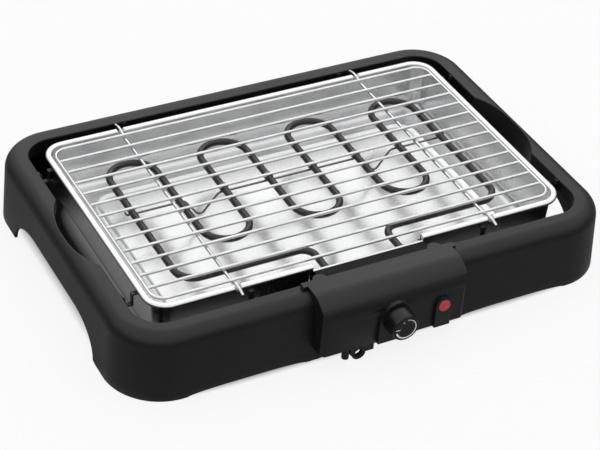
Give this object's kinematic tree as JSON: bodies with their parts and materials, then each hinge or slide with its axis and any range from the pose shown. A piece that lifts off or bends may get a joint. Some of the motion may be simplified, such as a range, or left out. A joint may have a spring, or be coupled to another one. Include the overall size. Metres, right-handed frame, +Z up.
{
  "type": "electric table grill",
  "caption": "Open electric table grill: black ring frame, steel water tray, bent tube element, wire rack and a lift-off control unit with knob and lamp.",
  "frame": {"origin": "centre of the bounding box, on the table", "axes": "+X to the right along the long side, +Z up, the control unit faces -Y"},
  "size_m": [0.4742, 0.357, 0.07],
  "materials": {
    "black_moulding": "satin moulded plastic, fine grain",
    "control_plastic": "satin moulded plastic",
    "rubber_black": "matte",
    "tray_steel": "bright rolled stainless sheet, fine brushing",
    "chrome_wire": "bright plated wire",
    "element_sheath": "dark oxidised tube, satin",
    "stay_wire": "dull heat-stained wire",
    "plated_steel": "zinc plated, satin",
    "shield_black": "black heat-resistant paint, satin",
    "ceramic_white": "off-white ceramic, slight gloss",
    "brass": "bare brass, satin",
    "mark_white": "white print",
    "lamp_red": "translucent red lens, glossy",
    "wire_insulation": "silicone-sheathed wire"
  },
  "bodies": {
    "frame": {"frame_shell": "black_moulding", "foot_pads": "rubber_black", "tray_brackets": "shield_black", "bracket_screws": "shield_black"},
    "tray": {"drip_tray": "tray_steel"},
    "rack": {"rack_frame": "chrome_wire", "rack_bars": "chrome_wire", "rack_cross_wires": "chrome_wire"},
    "knob": {"control_knob": "control_plastic", "knob_marks": "mark_white", "thermostat_shaft": "plated_steel"},
    "plunger": {"switch_plunger": "control_plastic"},
    "heater": {"heating_element": "element_sheath", "element_stay": "stay_wire", "stay_clips": "stay_wire", "terminal_pins": "brass", "terminal_insulators": "ceramic_white", "element_bracket": "tray_steel", "element_flange": "plated_steel", "flange_screws": "plated_steel", "heat_shield": "shield_black", "control_housing": "control_plastic", "control_base": "control_plastic", "housing_screws": "plated_steel", "thermostat_body": "ceramic_white", "thermostat_nut": "brass", "lamp_lens": "lamp_red", "lamp_holder": "ceramic_white", "safety_switch": "control_plastic", "thermal_cutout": "plated_steel", "terminal_block": "ceramic_white", "earth_tag": "brass", "supply_lead": "wire_insulation", "neutral_lead": "wire_insulation", "element_leads": "wire_insulation", "lamp_lead": "wire_insulation", "cord_gland": "control_plastic", "cord_clamp": "control_plastic", "clamp_screw": "plated_steel", "support_peg": "control_plastic"}
  },
  "joints": [
    {"name": "tray_lift", "type": "slide", "parent": "frame", "child": "tray", "axis": [0, 0, 1], "range_m": [0, 0.09]},
    {"name": "heater_lift", "type": "slide", "parent": "tray", "child": "heater", "axis": [0, 0, 1], "range_m": [0, 0.08]},
    {"name": "rack_lift", "type": "slide", "parent": "heater", "child": "rack", "axis": [0, 0, 1], "range_m": [0, 0.08]},
    {"name": "knob_turn", "type": "hinge", "parent": "heater", "child": "knob", "pos_m": [0, -0.16446, 0.0377], "axis": [0, 1, 0], "range_deg": [0, 270]},
    {"name": "plunger_press", "type": "slide", "parent": "heater", "child": "plunger", "axis": [0, 0, 1], "range_m": [0, 0.0015], "stiffness_N_per_m": 600, "springref_m": -0.0005}
  ]
}
